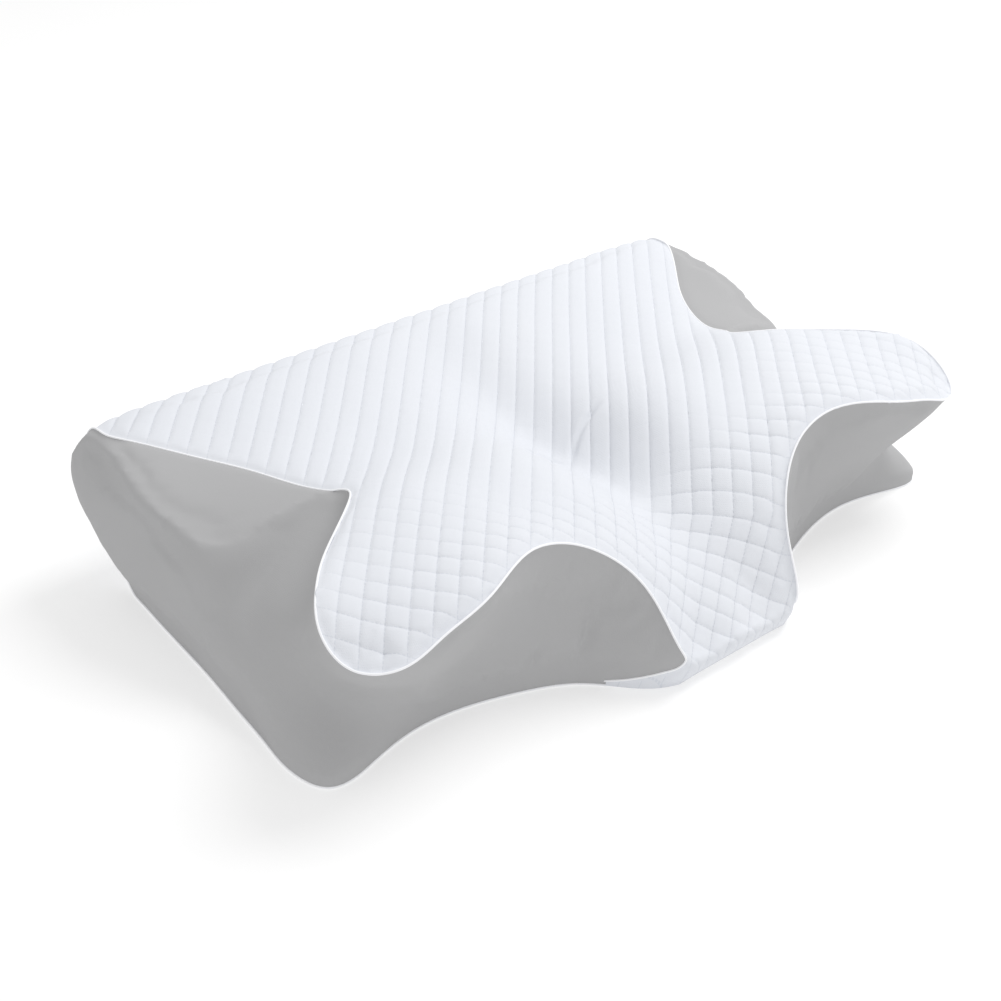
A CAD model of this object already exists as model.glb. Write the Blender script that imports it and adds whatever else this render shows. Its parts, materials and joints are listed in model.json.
"""Looks for the butterfly neck pillow: a quilted cover with grey sides, piping and a coil zip."""

import json
import math

import bpy
import numpy as np
from mathutils import Matrix, Vector, noise
from mathutils.bvhtree import BVHTree
from mathutils.kdtree import KDTree


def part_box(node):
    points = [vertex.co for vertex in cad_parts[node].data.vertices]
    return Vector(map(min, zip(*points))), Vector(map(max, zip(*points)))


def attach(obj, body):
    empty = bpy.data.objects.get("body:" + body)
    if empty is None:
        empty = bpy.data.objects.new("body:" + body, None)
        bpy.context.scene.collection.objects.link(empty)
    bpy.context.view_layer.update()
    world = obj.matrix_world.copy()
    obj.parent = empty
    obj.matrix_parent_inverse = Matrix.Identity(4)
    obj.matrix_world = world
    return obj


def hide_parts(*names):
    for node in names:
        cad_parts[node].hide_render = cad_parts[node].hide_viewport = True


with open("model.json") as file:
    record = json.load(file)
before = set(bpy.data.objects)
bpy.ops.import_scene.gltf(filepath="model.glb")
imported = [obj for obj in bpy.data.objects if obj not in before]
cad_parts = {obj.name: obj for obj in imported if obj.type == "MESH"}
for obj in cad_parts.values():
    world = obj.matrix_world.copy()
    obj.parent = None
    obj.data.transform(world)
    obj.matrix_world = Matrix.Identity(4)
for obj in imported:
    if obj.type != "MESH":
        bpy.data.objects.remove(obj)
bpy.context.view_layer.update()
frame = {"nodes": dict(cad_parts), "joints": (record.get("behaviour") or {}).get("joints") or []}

SCENE = bpy.context.scene
NODES = frame["nodes"]

# Fabric sizes, in metres
VOXEL = 0.004  # remesh size of the skin
START_INSIDE = 0.001  # the skin starts this much smaller, and the cloth simulation swells it back
SWELL_CAP = 0.003  # furthest that the simulation may move a point
SHRINK_CAP = 0.0004  # and furthest inwards, where the foam is behind it
PIPING_RADIUS = 0.0008
SEAM_TUCK = 0.0006  # how deep the panels dip beside a seam, little enough for the thin wing edges
SEAM_WIDTH = 0.006
SEAM_ROUNDS = 12  # rounds of smoothing along a seam
BEAD_STEP = 0.001  # spacing of the points taken on a CAD bead
BEAD_REACH = 0.012  # furthest that a seam may lie from its bead
BEAD_SPREAD = 0.005  # length of bead that each seam point is averaged over
BEAD_COVERED = 0.0004  # a bead's face this near to another piece is hidden by it
RELAX_REACH = 0.012  # how far from a seam the skin is smoothed after the seam has moved
RELAX_ROUNDS = 6
SKIN_REST_GAP = 0.0004  # clearance over the floor
PANEL_REST_GAP = 0.0003
PIPING_REST_GAP = 0.0002
PIPING_STEP = 0.0015
SIDE_RIPPLE = 0.0005

# The soft pieces inside the cover
INNER_VOXEL = 0.006  # remesh size
LINER_SHRINK = 0.002  # how far each is drawn in from the foam's CAD surface
FOAM_SHRINK = 0.003

# Quilting: two families of stitched lines, set out on the plan
PITCH = 0.0150
LINE_ANGLE = math.radians(42)  # from the front-to-back direction
LONG_DEPTH = 0.0019  # channels of the family from front left to back right
CROSS_DEPTH = 0.0013  # the crossing family, where the cloth lies loosest: on the nose and the wing tips
CROSS_LEAST = 0.08  # its share on the back slope, which is stretched flat
LINE_WANDER = 0.0009  # how far the stitching strays from straight
CRUMPLE = 0.0004  # unevenness of the wadding
WALL_TOP = 0.128  # below this height the back panel is a wall
WALL_START_Y = 0.155
NOSE_TOP = 0.083  # below this height the nose front falls away

# Short folds in the floor of the head hollow: two ends on the plan and a depth
HOLLOW_FOLDS = (
    ((-0.028, 0.013), (-0.003, -0.024), 0.0024),
    ((0.001, -0.022), (0.058, 0.000), 0.0030),
)
FOLD_WIDTH = 0.0035
FOLD_BEND = 0.5  # how far a fold bows sideways
FOLD_LIP = 0.4  # share of the depth taken back by the narrow ridge inside it

# Where the white panel wraps under the gusset beside the nose
NOSE_CORNER = (0.058, 0.022)  # sideways and up
NOSE_FOOT_X = 0.108
NOSE_ZONE_Y = -0.160

# Zip
COIL_PITCH = 0.0015
COIL_WIRE = 0.0003
COIL_STEPS = 12  # points in each turn
TAPE_COLUMNS = 211
EDGE_BEVEL = 0.00018


# ---------------------------------------------------------------- meshes
def new_object(name, vertices, faces, material):
    """A mesh object made from points and faces."""
    mesh = bpy.data.meshes.new(name)
    mesh.from_pydata([tuple(v) for v in vertices], [], [tuple(f) for f in faces])
    mesh.validate()
    mesh.update()
    made = bpy.data.objects.new(name, mesh)
    SCENE.collection.objects.link(made)
    mesh.materials.append(material)
    mesh.polygons.foreach_set("use_smooth", [True] * len(mesh.polygons))
    return made


def points_of(mesh):
    """A mesh's vertices as an array."""
    found = np.zeros(len(mesh.vertices) * 3)
    mesh.vertices.foreach_get("co", found)
    return found.reshape(-1, 3)


def set_points(mesh, points):
    """Moves a mesh's vertices."""
    mesh.vertices.foreach_set("co", np.asarray(points, dtype=np.float32).ravel())
    mesh.update()


def normals_of(mesh):
    """A mesh's vertex normals as an array."""
    found = np.zeros(len(mesh.vertices) * 3, dtype=np.float32)
    mesh.vertex_normals.foreach_get("vector", found)
    return found.reshape(-1, 3).astype(float)


def faces_of(mesh):
    return [tuple(p.vertices) for p in mesh.polygons]


def applied(obj, kind, **settings):
    """obj's mesh with one modifier applied to it."""
    modifier = obj.modifiers.new(kind, kind)
    for name, value in settings.items():
        setattr(modifier, name, value)
    graph = bpy.context.evaluated_depsgraph_get()
    mesh = bpy.data.meshes.new_from_object(obj.evaluated_get(graph))
    obj.modifiers.clear()
    obj.data = mesh
    return mesh


def cad_mesh(names):
    """The joined vertices and faces of CAD nodes, with the node index of each face."""
    vertices, faces, owner = [], [], []
    for index, name in enumerate(names):
        mesh = NODES[name].data
        start = len(vertices)
        vertices += [v.co.copy() for v in mesh.vertices]
        faces += [tuple(start + i for i in p.vertices) for p in mesh.polygons]
        owner += [index] * len(mesh.polygons)
    return vertices, faces, owner


def smoothstep(low, high, value):
    share = np.clip((value - low) / (high - low), 0, 1)
    return share * share * (3 - 2 * share)


def soft_noise(points, scale, seed):
    """Smooth noise from -1 to 1 at each point."""
    shift = Vector((seed, 2.0 * seed, 0.5 * seed))
    return np.array([noise.noise(Vector(p) * scale + shift) for p in points])


# ---------------------------------------------------------------- materials
def node_material(name, colour, roughness, sheen=0.0, coat=0.0, metallic=0.0):
    """A Principled material, its node tree and its shader."""
    material = bpy.data.materials.new(name)
    material.use_nodes = True
    tree = material.node_tree
    shader = tree.nodes["Principled BSDF"]
    shader.inputs["Base Color"].default_value = (*colour, 1)
    shader.inputs["Roughness"].default_value = roughness
    shader.inputs["Sheen Weight"].default_value = sheen
    shader.inputs["Sheen Roughness"].default_value = 0.5
    shader.inputs["Coat Weight"].default_value = coat
    shader.inputs["Metallic"].default_value = metallic
    shader.inputs["Specular IOR Level"].default_value = 0.25
    return material, tree, shader


def add_node(tree, kind, **inputs):
    """A node with some of its inputs set."""
    node = tree.nodes.new(kind)
    for name, value in inputs.items():
        node.inputs[name.replace("_", " ")].default_value = value
    return node


def maths(tree, operation, first, second=0.0):
    """A Math node on two sockets or numbers."""
    node = tree.nodes.new("ShaderNodeMath")
    node.operation = operation
    for socket, value in zip(node.inputs, (first, second)):
        if isinstance(value, (int, float)):
            socket.default_value = value
        else:
            tree.links.new(value, socket)
    return node.outputs[0]


def tint(tree, shader, factor, low, high):
    """Colours the shader between low and high by a factor."""
    mix = tree.nodes.new("ShaderNodeMix")
    mix.data_type = "RGBA"
    mix.inputs[6].default_value = (*low, 1)
    mix.inputs[7].default_value = (*high, 1)
    tree.links.new(factor, mix.inputs[0])
    tree.links.new(mix.outputs[2], shader.inputs["Base Color"])
    return mix


def bump(tree, shader, height, strength, distance):
    """Adds a bump from a height socket on top of what the shader already has."""
    node = add_node(tree, "ShaderNodeBump", Strength=strength, Distance=distance)
    tree.links.new(height, node.inputs["Height"])
    before = shader.inputs["Normal"].links
    if before:
        tree.links.new(before[0].from_socket, node.inputs["Normal"])
    tree.links.new(node.outputs["Normal"], shader.inputs["Normal"])


def knit(tree, shader, size, strength):
    """Small rounded stitches of the knit, all over."""
    place = tree.nodes.new("ShaderNodeTexCoord")
    cells = add_node(tree, "ShaderNodeTexVoronoi", Scale=1 / size, Randomness=0.35)
    tree.links.new(place.outputs["Object"], cells.inputs["Vector"])
    bump(tree, shader, maths(tree, "SUBTRACT", 1.0, cells.outputs["Distance"]), strength, size * 0.5)
    return place


def shade_variation(tree, shader, place, scale, low, high):
    cloud = add_node(tree, "ShaderNodeTexNoise", Scale=scale, Detail=3.0, Roughness=0.55)
    tree.links.new(place.outputs["Object"], cloud.inputs["Vector"])
    return tint(tree, shader, cloud.outputs["Fac"], low, high)


def quilted_white():
    """White knit, with a sewn thread at the bottom of each channel."""
    material, tree, shader = node_material("quilted_white", (0.9, 0.91, 0.94), 0.9, sheen=0.12)
    place = knit(tree, shader, 0.0011, 0.25)
    cloth = shade_variation(tree, shader, place, 5.0, (0.70, 0.72, 0.765), (0.74, 0.755, 0.79))
    lines = tree.nodes.new("ShaderNodeUVMap")
    lines.uv_map = "quilting"
    split = tree.nodes.new("ShaderNodeSeparateXYZ")
    tree.links.new(lines.outputs["UV"], split.inputs[0])
    shown = tree.nodes.new("ShaderNodeUVMap")
    shown.uv_map = "thread"
    share = tree.nodes.new("ShaderNodeSeparateXYZ")
    tree.links.new(shown.outputs["UV"], share.inputs[0])
    threads = []
    for across, along in ((0, 1), (1, 0)):
        turn = maths(tree, "FRACT", split.outputs[across])
        off = maths(tree, "ABSOLUTE", maths(tree, "SUBTRACT", turn, 0.5))
        near = maths(tree, "GREATER_THAN", off, 0.5 - 0.022)
        dash = maths(tree, "SINE", maths(tree, "MULTIPLY", split.outputs[along], 2 * math.pi * 5))
        sewn = maths(tree, "MULTIPLY", near, maths(tree, "GREATER_THAN", dash, -0.6))
        threads.append(maths(tree, "MULTIPLY", sewn, share.outputs[across]))
    thread = maths(tree, "MAXIMUM", *threads)
    sewn = tree.nodes.new("ShaderNodeMix")
    sewn.data_type = "RGBA"
    tree.links.new(maths(tree, "MULTIPLY", thread, 0.5), sewn.inputs[0])
    tree.links.new(cloth.outputs[2], sewn.inputs[6])
    sewn.inputs[7].default_value = (0.6, 0.63, 0.69, 1)
    tree.links.new(sewn.outputs[2], shader.inputs["Base Color"])
    bump(tree, shader, thread, 0.5, 0.0004)
    return material


def plain_knit(name, low, high, size, strength, roughness=0.9, sheen=0.12):
    """A flat knit with a little variation."""
    material, tree, shader = node_material(name, high, roughness, sheen=sheen)
    place = knit(tree, shader, size, strength)
    shade_variation(tree, shader, place, 7.0, low, high)
    return material


def woven(name, low, high, count):
    """A plain weave of crossed threads."""
    material, tree, shader = node_material(name, high, 0.85, sheen=0.1)
    place = tree.nodes.new("ShaderNodeTexCoord")
    bands = []
    for direction in ("X", "Z"):
        wave = add_node(tree, "ShaderNodeTexWave", Scale=count, Distortion=0.2)
        wave.bands_direction = direction
        tree.links.new(place.outputs["Object"], wave.inputs["Vector"])
        bands.append(wave.outputs["Fac"])
    bump(tree, shader, maths(tree, "MULTIPLY", *bands), 0.5, 0.0002)
    shade_variation(tree, shader, place, 30.0, low, high)
    return material


def moulded(name, low, high, roughness, grain, strength, coat=0.0, metallic=0.0):
    """Plastic, foam or enamel with a fine grain."""
    material, tree, shader = node_material(name, high, roughness, coat=coat, metallic=metallic)
    place = tree.nodes.new("ShaderNodeTexCoord")
    speck = add_node(tree, "ShaderNodeTexNoise", Scale=1 / grain, Detail=2.0)
    tree.links.new(place.outputs["Object"], speck.inputs["Vector"])
    bump(tree, shader, speck.outputs["Fac"], strength, grain * 0.3)
    shade_variation(tree, shader, place, 40.0, low, high)
    return material


WHITE = quilted_white()
GREY = plain_knit("gusset_grey", (0.405, 0.405, 0.41), (0.432, 0.432, 0.437), 0.0009, 0.2, sheen=0.05)
BASE = plain_knit("base_white", (0.82, 0.83, 0.86), (0.88, 0.89, 0.91), 0.0010, 0.25)
BINDING = plain_knit("piping_white", (0.88, 0.89, 0.91), (0.94, 0.94, 0.96), 0.0006, 0.3)
LINER = plain_knit("liner_knit", (0.85, 0.85, 0.84), (0.9, 0.9, 0.89), 0.0012, 0.4)
FOAM = moulded("foam", (0.86, 0.82, 0.7), (0.92, 0.89, 0.8), 0.9, 0.0012, 0.6)
TAPE = woven("zip_tape", (0.82, 0.82, 0.85), (0.9, 0.9, 0.93), 400.0)
COIL = moulded("zip_coil", (0.84, 0.84, 0.87), (0.9, 0.9, 0.93), 0.4, 0.0008, 0.1)
METAL = moulded("zip_metal", (0.82, 0.82, 0.85), (0.88, 0.88, 0.9), 0.3, 0.0006, 0.05, coat=0.4)


# ---------------------------------------------------------------- skin
def swollen(obj):
    """Cloth simulation of the closed skin under a little pressure, with each point's travel capped."""
    start = points_of(obj.data)
    modifier = obj.modifiers.new("cloth", "CLOTH")
    settings = modifier.settings
    settings.quality = 4
    settings.mass = 0.3
    settings.use_pressure = True
    settings.uniform_pressure_force = 4
    settings.tension_stiffness = 15
    settings.compression_stiffness = 15
    settings.bending_stiffness = 0.5
    settings.effector_weights.gravity = 0
    modifier.collision_settings.use_collision = False
    for step in range(1, 19):
        SCENE.frame_set(step)
    graph = bpy.context.evaluated_depsgraph_get()
    mesh = bpy.data.meshes.new_from_object(obj.evaluated_get(graph))
    obj.modifiers.clear()
    travel = points_of(mesh) - start
    normals = normals_of(obj.data)
    inward = np.minimum(0, (travel * normals).sum(1, keepdims=True) + SHRINK_CAP)
    travel -= normals * inward
    length = np.linalg.norm(travel, axis=1, keepdims=True)
    travel *= np.minimum(1, SWELL_CAP / np.maximum(length, 1e-9))
    obj.data = mesh
    set_points(mesh, start + travel)
    SCENE.frame_set(1)


def closed_skin():
    """One closed mesh round the whole soft body, remeshed from its CAD pieces, swollen and subdivided."""
    soft = [n for n in NODES if not n.startswith("zip_")]
    vertices, faces, _ = cad_mesh(soft)
    skin = new_object("skin", vertices, faces, WHITE)
    applied(skin, "REMESH", mode="VOXEL", voxel_size=VOXEL, use_smooth_shade=True)
    set_points(skin.data, points_of(skin.data) - normals_of(skin.data) * START_INSIDE)
    swollen(skin)
    applied(skin, "SUBSURF", levels=1, render_levels=1)
    return skin


def panel_of_faces(mesh):
    """Which panel each face of the skin belongs to, as an index in PANELS."""
    vertices, faces, owner = cad_mesh([PANELS[name][0] for name in PANELS])
    tree = BVHTree.FromPolygons(vertices, faces)
    labels = np.array([owner[tree.find_nearest(p.center)[2]] for p in mesh.polygons])
    centres = np.array([p.center for p in mesh.polygons])
    foot = (NOSE_FOOT_X - np.abs(centres[:, 0])) / (NOSE_FOOT_X - NOSE_CORNER[0])
    wrap = (centres[:, 2] < NOSE_CORNER[1] * np.clip(foot, 0, 1)) & (centres[:, 1] < NOSE_ZONE_Y)
    labels[wrap & ((labels == 1) | (labels == 2))] = 0
    return labels


def neighbours_of(mesh):
    """For each edge, its two vertices and its two faces."""
    edge_faces = {}
    for face in mesh.polygons:
        for key in face.edge_keys:
            edge_faces.setdefault(key, []).append(face.index)
    return edge_faces


def tidied(labels, edge_faces):
    """Labels with single stray faces given to the panel round them."""
    pairs = np.array([f for f in edge_faces.values() if len(f) == 2])
    for _ in range(8):
        votes = np.zeros((len(labels), len(PANELS)))
        np.add.at(votes, (pairs[:, 0], labels[pairs[:, 1]]), 1)
        np.add.at(votes, (pairs[:, 1], labels[pairs[:, 0]]), 1)
        best = votes.argmax(1)
        labels = np.where(votes.max(1) >= 3, best, labels)
    return labels


def seam_paths(labels, edge_faces):
    """Chains of skin vertices along each boundary between two panels, as (pair of panels, vertices)."""
    links = {}
    for key, faces in edge_faces.items():
        sides = tuple(sorted(int(labels[f]) for f in faces))
        if len(set(sides)) == 2:
            for a, b in (key, key[::-1]):
                links.setdefault(a, {})[b] = sides
    used, chains = set(), []
    ends = [v for v in links if len(links[v]) != 2]
    for start in ends + list(links):
        for step in links[start]:
            if frozenset((start, step)) in used:
                continue
            sides = links[start][step]
            chain, here, ahead = [start], start, step
            while True:
                used.add(frozenset((here, ahead)))
                chain.append(ahead)
                if len(links[ahead]) != 2 or ahead == start:
                    break
                here, ahead = ahead, next(n for n in links[ahead] if n != here)
                if frozenset((here, ahead)) in used:
                    break
            chains.append((sides, chain))
    return chains


def smoothed(line, rounds):
    """A line of points, each drawn towards the middle of its neighbours, with its ends held."""
    line = np.array(line, float)
    for _ in range(rounds):
        line[1:-1] = 0.5 * line[1:-1] + 0.25 * (line[:-2] + line[2:])
    return line


def relaxed(points, edges, held, rounds):
    """Points drawn towards their neighbours' mean, apart from the held ones."""
    count = np.zeros(len(points))
    np.add.at(count, edges[:, 0], 1)
    np.add.at(count, edges[:, 1], 1)
    for _ in range(rounds):
        total = np.zeros_like(points)
        np.add.at(total, edges[:, 0], points[edges[:, 1]])
        np.add.at(total, edges[:, 1], points[edges[:, 0]])
        mean = total / np.maximum(count, 1)[:, None]
        points = np.where(held[:, None], points, 0.5 * points + 0.5 * mean)
    return points


def bead_points():
    """Points spread over the outward faces of the CAD piping, each with the area it stands for."""
    panels, faces, _ = cad_mesh([n for n in NODES if not n.startswith("zip_") and not n.endswith("_piping")])
    others = BVHTree.FromPolygons(panels, faces)
    points, weights = [], []
    for name in (n for n in NODES if n.endswith("_piping")):
        mesh = NODES[name].data
        for face in mesh.polygons:
            if others.find_nearest(face.center)[3] < BEAD_COVERED:
                continue
            a, b, c = (mesh.vertices[i].co for i in face.vertices[:3])
            count = max(1, math.ceil(max((a - b).length, (b - c).length, (c - a).length) / BEAD_STEP))
            spread = [(i + 1 / 3, j + 1 / 3) for i in range(count) for j in range(count - i)]
            points += [a + (b - a) * (i / count) + (c - a) * (j / count) for i, j in spread]
            weights += [face.area / len(spread)] * len(spread)
    tree = KDTree(len(points))
    for index, point in enumerate(points):
        tree.insert(point, index)
    tree.balance()
    return tree, weights


def in_nose_wrap(point):
    """Whether a point lies where the white panel leaves the bead to wrap under the gusset."""
    x, y, z = point
    return y < NOSE_ZONE_Y and z < NOSE_CORNER[1] + 0.001 and abs(x) < NOSE_FOOT_X


def on_bead(line, sides, tree, weights):
    """A seam's points drawn to the middle of the CAD bead beside them, where there is one."""
    moved = []
    for point in line:
        middle = Vector(point)
        wrapped = sides in ((0, 1), (0, 2)) and in_nose_wrap(point)
        if not wrapped and tree.find(middle)[2] < BEAD_REACH:
            middle = tree.find(middle)[0]
            for _ in range(3):
                found = tree.find_range(middle, 2 * BEAD_SPREAD)
                shares = [weights[i] * math.exp(-((d / BEAD_SPREAD) ** 2)) for _, i, d in found]
                middle = sum((p * k for (p, _, _), k in zip(found, shares)), Vector()) / sum(shares)
        moved.append(middle)
    return np.array(moved)


def panel_mesh(name, skin, labels, index, material):
    """The faces of one panel as their own object."""
    chosen = [faces for faces, label in zip(faces_of(skin), labels) if label == index]
    used = sorted({v for f in chosen for v in f})
    place = {v: i for i, v in enumerate(used)}
    points = points_of(skin)[used]
    return new_object(name, points, [[place[v] for v in f] for f in chosen], material)


def unrolled(points):
    """Plan position with the nose front and the back wall laid out flat."""
    x, y, z = points.T
    back = np.where(y > WALL_START_Y, np.maximum(0, WALL_TOP - z), 0)
    nose = 0.5 * np.maximum(0, NOSE_TOP - z) * smoothstep(0.08, 0.14, -y)
    return x, y + back - nose


def quilting(points):
    """Where each point stands across each family of lines, in pitches."""
    x, y = unrolled(points)
    x = x + LINE_WANDER * soft_noise(points, 9.0, 3.0)
    y = y + LINE_WANDER * soft_noise(points, 9.0, 7.0)
    across = (x * math.cos(LINE_ANGLE) - y * math.sin(LINE_ANGLE)) / PITCH
    crossing = (x * math.cos(LINE_ANGLE) + y * math.sin(LINE_ANGLE)) / PITCH
    return across, crossing


def channel(turns):
    """A puffed channel's height from 0 on the stitched line to 1 in the middle."""
    off = np.abs((turns % 1.0) - 0.5) * 2
    return np.sqrt(np.maximum(0, 1 - off**2.4))


def looseness(points):
    """How much the crossing lines show: most on the nose and the wing tips."""
    x, y, _ = points.T
    front = smoothstep(0.09, 0.13, -y)
    tips = 0.5 * smoothstep(0.12, 0.2, np.abs(x)) * smoothstep(0.03, 0.08, -y)
    return CROSS_LEAST + (1 - CROSS_LEAST) * np.maximum(front, tips)


def seam_distance(points, seams):
    """Distance from each point to the nearest seam."""
    tree = KDTree(len(seams))
    for index, point in enumerate(seams):
        tree.insert(point, index)
    tree.balance()
    return np.array([tree.find(p)[2] for p in points])


def creases(points):
    """Depth of the short folds where the panel is pulled down into the head hollow."""
    x, y, _ = points.T
    depth = np.zeros(len(points))
    for (x0, y0), (x1, y1), most in HOLLOW_FOLDS:
        length = math.hypot(x1 - x0, y1 - y0)
        along = ((x - x0) * (x1 - x0) + (y - y0) * (y1 - y0)) / length**2
        off = ((x - x0) * (y1 - y0) - (y - y0) * (x1 - x0)) / length
        off = off + FOLD_BEND * length * (along - along**2)
        fade = smoothstep(0, 0.3, along) * smoothstep(0, 0.3, 1 - along)
        groove = np.exp(-((off / FOLD_WIDTH) ** 2))
        lip = FOLD_LIP * np.exp(-((off / FOLD_WIDTH / 2.5) ** 2))
        depth += most * fade * (groove - lip)
    return depth


def quilt(obj, seams):
    """Presses the sewn channels into the white panel and tucks it in at its seams."""
    mesh = obj.data
    points, normals = points_of(mesh), normals_of(mesh)
    across, crossing = quilting(points)
    distance = seam_distance(points, seams)
    inner = smoothstep(0.001, 0.014, distance)
    loose = looseness(points)
    height = LONG_DEPTH * (channel(across) - 0.75) + CROSS_DEPTH * loose * (channel(crossing) - 0.75)
    height *= inner
    height -= creases(points)
    height += CRUMPLE * soft_noise(points, 35.0, 1.0) * inner
    height -= SEAM_TUCK * np.exp(-((distance / SEAM_WIDTH) ** 2)) * smoothstep(0.0, 0.003, distance)
    set_points(mesh, points + normals * height[:, None])
    corner = np.zeros(len(mesh.loops), dtype=np.int32)
    mesh.loops.foreach_get("vertex_index", corner)
    for name, pair in (("quilting", (across, crossing)), ("thread", (np.ones(len(points)), loose))):
        layer = mesh.uv_layers.new(name=name)
        layer.data.foreach_set("uv", np.stack(pair, 1)[corner].astype(np.float32).ravel())


def settle(obj, seams, ripple, seed):
    """Slight ripples on a plain panel, and its tuck at the seams."""
    mesh = obj.data
    points, normals = points_of(mesh), normals_of(mesh)
    distance = seam_distance(points, seams)
    inner = smoothstep(0.002, 0.02, distance)
    height = ripple * soft_noise(points, 22.0, seed) * inner
    height -= SEAM_TUCK * np.exp(-((distance / SEAM_WIDTH) ** 2)) * smoothstep(0.0, 0.003, distance)
    set_points(mesh, points + normals * height[:, None])


def tube(name, line, radius, material, sides=10):
    """A round tube along a line of points, with closed ends."""
    line = np.array(line, float)
    count = len(line)
    ahead = np.roll(line, -1, 0) - np.roll(line, 1, 0)
    ahead[0], ahead[-1] = line[1] - line[0], line[-1] - line[-2]
    ahead /= np.maximum(np.linalg.norm(ahead, axis=1, keepdims=True), 1e-9)
    across = np.cross(ahead[0], (0.0, 0.0, 1.0))
    if np.linalg.norm(across) < 0.1:
        across = np.cross(ahead[0], (0.0, 1.0, 0.0))
    vertices = []
    for point, way in zip(line, ahead):
        across = across - way * (across @ way)
        across /= np.linalg.norm(across)
        other = np.cross(way, across)
        for k in range(sides):
            turn = 2 * math.pi * k / sides
            vertices.append(point + radius * (math.cos(turn) * across + math.sin(turn) * other))
    faces = []
    for i in range(count - 1):
        j = i + 1
        for k in range(sides):
            m = (k + 1) % sides
            faces.append((i * sides + k, i * sides + m, j * sides + m, j * sides + k))
    faces.append(tuple(range(sides))[::-1])
    faces.append(tuple((count - 1) * sides + k for k in range(sides)))
    return new_object(name, vertices, faces, material)


def resampled(line, step):
    """Points spaced evenly along a line."""
    line = np.array(line)
    run = np.concatenate([[0], np.cumsum(np.linalg.norm(np.diff(line, axis=0), axis=1))])
    places = np.linspace(0, run[-1], max(2, int(run[-1] / step)))
    return np.stack([np.interp(places, run, line[:, k]) for k in range(3)], 1)


# Panel name: its CAD node, its finish and its record slot
PANELS = {
    "quilted_top": ("top_panel", WHITE, "quilted_white"),
    "left_side_knit": ("left_gusset", GREY, "gusset_grey"),
    "right_side_knit": ("right_gusset", GREY, "gusset_grey"),
    "base_cloth": ("bottom_panel", BASE, "base_white"),
}
SEAM_NAMES = {(0, 1): "left_upper", (0, 2): "right_upper", (1, 3): "left_lower", (2, 3): "right_lower"}


def cover():
    """The skin, cut into its panels along smooth seams, with piping in them."""
    skin = closed_skin()
    mesh = skin.data
    edge_faces = neighbours_of(mesh)
    labels = tidied(panel_of_faces(mesh), edge_faces)
    points = points_of(mesh)
    bead, weights = bead_points()
    held = np.zeros(len(points), bool)
    seams, longest = [], {}
    for sides, chain in seam_paths(labels, edge_faces):
        line = smoothed(points[chain], SEAM_ROUNDS)
        line = smoothed(on_bead(line, sides, bead, weights), SEAM_ROUNDS)
        points[chain] = line
        held[chain] = True
        seams.append(line)
        if sides in SEAM_NAMES and len(line) > len(longest.get(sides, ())):
            longest[sides] = line
    edges = np.array(list(edge_faces))
    away = seam_distance(points, np.concatenate(seams)) > RELAX_REACH
    points = relaxed(points, edges, held | away, RELAX_ROUNDS)
    points[:, 2] = np.maximum(points[:, 2], SKIN_REST_GAP)
    set_points(mesh, points)
    all_seams = np.concatenate([resampled(s, 0.001) for s in seams])
    for index, (name, (node, material, slot)) in enumerate(PANELS.items()):
        panel = panel_mesh(name, mesh, labels, index, material)
        if name == "quilted_top":
            applied(panel, "SUBSURF", levels=1, render_levels=1, boundary_smooth="PRESERVE_CORNERS")
            quilt(panel, all_seams)
        elif name != "base_cloth":
            settle(panel, all_seams, SIDE_RIPPLE, 4.0 + index)
        points = points_of(panel.data)
        points[:, 2] = np.maximum(points[:, 2], PANEL_REST_GAP)
        set_points(panel.data, points)
        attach(panel, "pillow")
        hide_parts(node)
    for sides, line in longest.items():
        name = SEAM_NAMES[sides]
        line = resampled(line, PIPING_STEP)
        line[:, 2] = np.maximum(line[:, 2], PIPING_RADIUS + PIPING_REST_GAP)
        cord = tube(f"{name}_binding", line, PIPING_RADIUS, BINDING)
        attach(cord, "pillow")
        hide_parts(f"{name}_piping")
    bpy.data.objects.remove(skin)


# ---------------------------------------------------------------- zip
def zip_frame():
    """The zip's own directions: along the back, up the wall and outwards, and its origin."""
    joint = next(j for j in frame["joints"] if j["name"] == "pull_swing")
    up = -Vector(joint["axis"])
    along = Vector((-1, 0, 0))
    out = along.cross(up)
    pin = Vector(joint["pos_m"])
    return Vector((0, pin.y, pin.z)) - out * 0.003, along, up, out


ORIGIN, ALONG, UP, OUT = zip_frame()


def in_zip(u, v, w):
    return ORIGIN + ALONG * u + UP * v + OUT * w


def coil(name, side, node):
    """One row of moulded coil teeth, as a flattened helix."""
    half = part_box(node)[1].x
    turns = int(2 * half / COIL_PITCH)
    line = []
    for k in range(turns * COIL_STEPS + 1):
        turn = 2 * math.pi * k / COIL_STEPS
        u = -half + COIL_PITCH * (k / COIL_STEPS + (0.5 if side > 0 else 0.0))
        v = side * (0.0014 + 0.0015 * math.cos(turn))
        line.append(in_zip(u, v, -0.0002 + 0.0007 * math.sin(turn)))
    line = [p for p in line if abs(p.x) <= half]
    made = tube(name, line, COIL_WIRE, COIL, sides=6)
    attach(made, "pillow")
    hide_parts(node)


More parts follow.
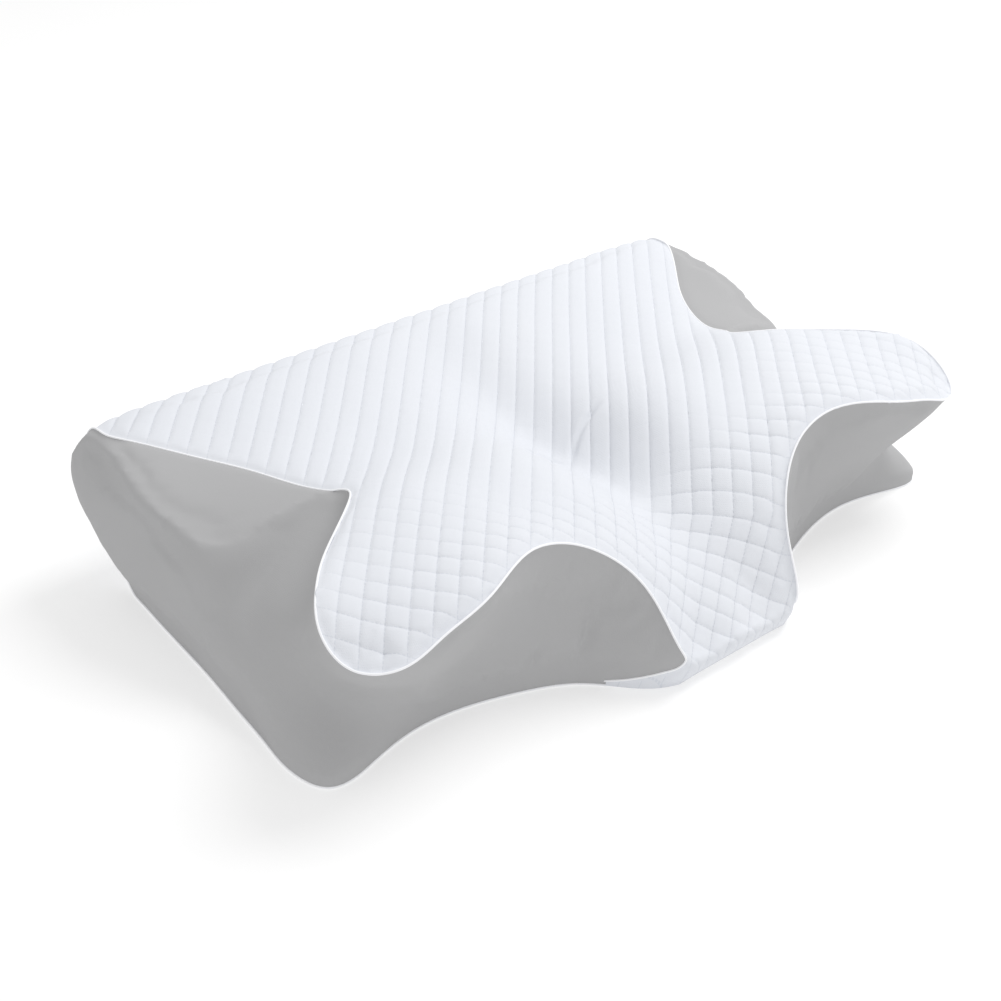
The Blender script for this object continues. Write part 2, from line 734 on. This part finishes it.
def tape(name, side, node):
    """One woven tape: a thin closed strip with rounded edges and a gentle wave."""
    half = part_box(node)[1].x
    section = [(0.0006, -0.0012), (0.0012, -0.0010), (0.0070, -0.0009), (0.0135, -0.0010), (0.0141, -0.0013)]
    section += [(0.0135, -0.0017), (0.0070, -0.0017), (0.0012, -0.0017)]
    vertices, faces = [], []
    for k in range(TAPE_COLUMNS):
        u = -half + 2 * half * k / (TAPE_COLUMNS - 1)
        wave = 0.0001 * math.sin(u * 140)
        vertices += [in_zip(u, side * v, w + wave) for v, w in section]
    ring = len(section)
    for k in range(TAPE_COLUMNS - 1):
        for m in range(ring):
            n = (m + 1) % ring
            quad = (k * ring + m, k * ring + n, (k + 1) * ring + n, (k + 1) * ring + m)
            faces.append(quad if side > 0 else quad[::-1])
    first = tuple(range(ring))
    last = tuple((TAPE_COLUMNS - 1) * ring + m for m in range(ring))
    faces += [first[::-1], last] if side > 0 else [first, last[::-1]]
    made = new_object(name, vertices, faces, TAPE)
    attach(made, "pillow")
    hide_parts(node)


def zip_parts():
    coil("upper_teeth", 1, "zip_upper_coil")
    coil("lower_teeth", -1, "zip_lower_coil")
    tape("upper_tape", 1, "zip_upper_tape")
    tape("lower_tape", -1, "zip_lower_tape")
    for node in ("zip_top_stops", "zip_bottom_stop", "zip_slider", "zip_pull"):
        refinish(node, METAL)
        edge = NODES[node].modifiers.new("rounded", "BEVEL")
        edge.width = EDGE_BEVEL
        edge.segments = 2


def inside(name, node, shrink, material):
    """A soft piece inside the cover: the foam's shape remeshed and drawn in a little."""
    vertices, faces, _ = cad_mesh(["foam_core"])
    made = new_object(name, vertices, faces, material)
    applied(made, "REMESH", mode="VOXEL", voxel_size=INNER_VOXEL, use_smooth_shade=True)
    mesh = made.data
    set_points(mesh, points_of(mesh) - normals_of(mesh) * shrink)
    mesh.materials.clear()
    mesh.materials.append(material)
    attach(made, "pillow")
    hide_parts(node)


def refinish(node, material):
    """A CAD node with its own procedural finish."""
    mesh = NODES[node].data
    mesh.materials.clear()
    mesh.materials.append(material)


# ---------------------------------------------------------------- stage
def studio():
    """Pale floor, soft lights and the camera."""
    size = 30.0
    corners = [(-size, -size, 0), (size, -size, 0), (size, size, 0), (-size, size, 0)]
    material, _, shader = node_material("floor", (0.6, 0.6, 0.6), 0.9)
    shader.inputs["Emission Color"].default_value = (1, 1, 1, 1)
    shader.inputs["Emission Strength"].default_value = 0.42
    floor = new_object("floor", corners, [(0, 1, 2, 3)], material)
    world = bpy.data.worlds.new("studio")
    world.use_nodes = True
    world.node_tree.nodes["Background"].inputs["Color"].default_value = (1, 1, 1, 1)
    world.node_tree.nodes["Background"].inputs["Strength"].default_value = 0.74
    SCENE.world = world
    SCENE.view_settings.view_transform = "Standard"
    for name, place, power, width in (
        ("key", (1.3, -0.1, 2.2), 32.0, 1.3),
        ("fill", (-1.2, -1.8, 1.5), 4.0, 1.8),
    ):
        light = bpy.data.lights.new(name, "AREA")
        light.energy = power
        light.size = width
        lamp = bpy.data.objects.new(name, light)
        lamp.location = place
        lamp.rotation_mode = "QUATERNION"
        lamp.rotation_quaternion = (-Vector(place)).to_track_quat("-Z", "Y")
        SCENE.collection.objects.link(lamp)
    camera = bpy.data.cameras.new("camera")
    camera.lens = 55.85
    camera.sensor_width = 36
    camera.clip_start = 0.05
    camera.clip_end = 50
    holder = bpy.data.objects.new("camera", camera)
    azimuth, elevation = math.radians(-40.44), math.radians(30.99)
    level = math.cos(elevation)
    back = Vector((math.sin(azimuth) * level, -math.cos(azimuth) * level, math.sin(elevation)))
    right = Vector((math.cos(azimuth), math.sin(azimuth), 0))
    up = back.cross(right)
    turned = Matrix((right, up, back)).transposed()
    holder.matrix_world = Matrix.Translation((-0.73056, -0.79396, 0.68818)) @ turned.to_4x4()
    SCENE.collection.objects.link(holder)
    SCENE.camera = holder


studio()
cover()
zip_parts()
inside("moulded_foam", "foam_core", FOAM_SHRINK, FOAM)
inside("foam_liner", "inner_liner", LINER_SHRINK, LINER)
